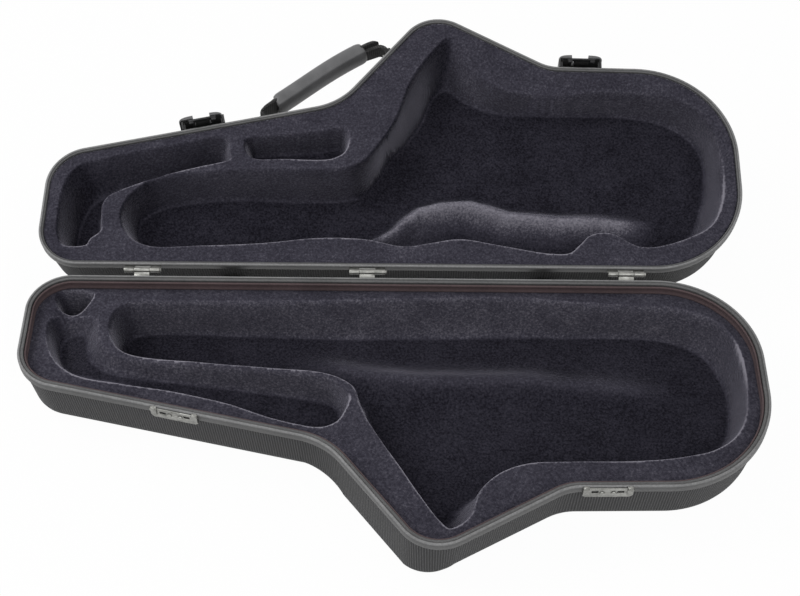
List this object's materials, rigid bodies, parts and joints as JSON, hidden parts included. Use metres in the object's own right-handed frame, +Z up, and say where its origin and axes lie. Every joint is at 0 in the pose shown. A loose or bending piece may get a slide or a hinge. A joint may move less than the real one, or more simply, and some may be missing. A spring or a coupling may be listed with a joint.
{
  "type": "alto saxophone case",
  "caption": "Shaped hinged case for an alto saxophone with plush-lined halves, draw latches, keepers and a padded strap handle, shown open.",
  "frame": {"origin": "on the flat bottom of the base, in line with the middle of the case's length, 118 mm in front of the spine", "axes": "+X along the spine towards the bell end, +Y from the front towards the spine and the opened lid, +Z up out of the base"},
  "size_m": [0.6487, 0.5525, 0.1327],
  "materials": {
    "shell_fabric": "matte, fine woven ribs",
    "rim_rubber": "matte",
    "gasket_rubber": "matte",
    "plush": "soft plush pile",
    "bright_nickel": "satin nickel",
    "black_steel": "satin black",
    "black_plastic": "satin black",
    "foot_rubber": "matte",
    "grip_leather": "smooth, satin",
    "webbing": "coarse weave"
  },
  "bodies": {
    "base": {"base_shell": "shell_fabric", "base_rim": "rim_rubber", "base_foot_left": "foot_rubber", "base_foot_right": "foot_rubber", "base_gasket": "gasket_rubber", "base_lining_left": "plush", "base_lining_middle": "plush", "base_lining_right": "plush", "hinge_base_leaf_left": "bright_nickel", "hinge_pin_left": "bright_nickel", "hinge_base_leaf_middle": "bright_nickel", "hinge_pin_middle": "bright_nickel", "hinge_base_leaf_right": "bright_nickel", "hinge_pin_right": "bright_nickel", "keeper_left": "bright_nickel", "keeper_left_rivet_1": "bright_nickel", "keeper_left_rivet_2": "bright_nickel", "keeper_right": "bright_nickel", "keeper_right_rivet_1": "bright_nickel", "keeper_right_rivet_2": "bright_nickel"},
    "lid": {"lid_shell": "shell_fabric", "lid_rim": "rim_rubber", "lid_foot_left": "foot_rubber", "lid_foot_right": "foot_rubber", "lid_lining": "plush", "hinge_lid_leaf_left": "bright_nickel", "hinge_lid_leaf_middle": "bright_nickel", "hinge_lid_leaf_right": "bright_nickel", "latch_plate_left": "black_steel", "latch_rivet_left_1": "bright_nickel", "latch_rivet_left_2": "bright_nickel", "latch_plate_right": "black_steel", "latch_rivet_right_1": "bright_nickel", "latch_rivet_right_2": "bright_nickel", "handle_anchor_left": "black_steel", "handle_pin_left": "bright_nickel", "anchor_rivet_left_1": "bright_nickel", "anchor_rivet_left_2": "bright_nickel", "handle_anchor_right": "black_steel", "handle_pin_right": "bright_nickel", "anchor_rivet_right_1": "bright_nickel", "anchor_rivet_right_2": "bright_nickel"},
    "latch_lever_left": {"latch_lever_left": "black_plastic", "latch_pin_left": "bright_nickel"},
    "latch_claw_left": {"latch_claw_left": "black_steel"},
    "latch_lever_right": {"latch_lever_right": "black_plastic", "latch_pin_right": "bright_nickel"},
    "latch_claw_right": {"latch_claw_right": "black_steel"},
    "handle": {"handle_strap": "webbing", "handle_grip": "grip_leather"}
  },
  "joints": [
    {"name": "lid_hinge", "type": "hinge", "parent": "base", "child": "lid", "pos_m": [0, 0.1237, 0.0693], "axis": [-1, 0, 0], "range_deg": [-166.7, 0]},
    {"name": "latch_left_lever", "type": "hinge", "parent": "lid", "child": "latch_lever_left", "pos_m": [-0.18209, 0.27982, 0.09871], "axis": [0.9762, 0.2109, 0.0499], "range_deg": [0, 80]},
    {"name": "latch_left_claw", "type": "hinge", "parent": "latch_lever_left", "child": "latch_claw_left", "pos_m": [-0.18187, 0.28071, 0.09069], "axis": [0.9762, 0.2109, 0.0499], "range_deg": [-80, 0]},
    {"name": "latch_right_lever", "type": "hinge", "parent": "lid", "child": "latch_lever_right", "pos_m": [0.1792, 0.34819, 0.11487], "axis": [0.9998, -0.0191, -0.0045], "range_deg": [0, 80]},
    {"name": "latch_right_claw", "type": "hinge", "parent": "latch_lever_right", "child": "latch_claw_right", "pos_m": [0.17918, 0.34906, 0.10685], "axis": [0.9998, -0.0191, -0.0045], "range_deg": [-80, 0]},
    {"name": "handle_swing", "type": "hinge", "parent": "lid", "child": "handle", "pos_m": [-0.12545, 0.29972, 0.0808], "axis": [0.8303, 0.5424, 0.1282], "range_deg": [-75, 75]}
  ],
  "couplings": [
    {"joint": "latch_left_claw", "follows": "latch_left_lever", "ratio": -1},
    {"joint": "latch_right_claw", "follows": "latch_right_lever", "ratio": -1}
  ]
}
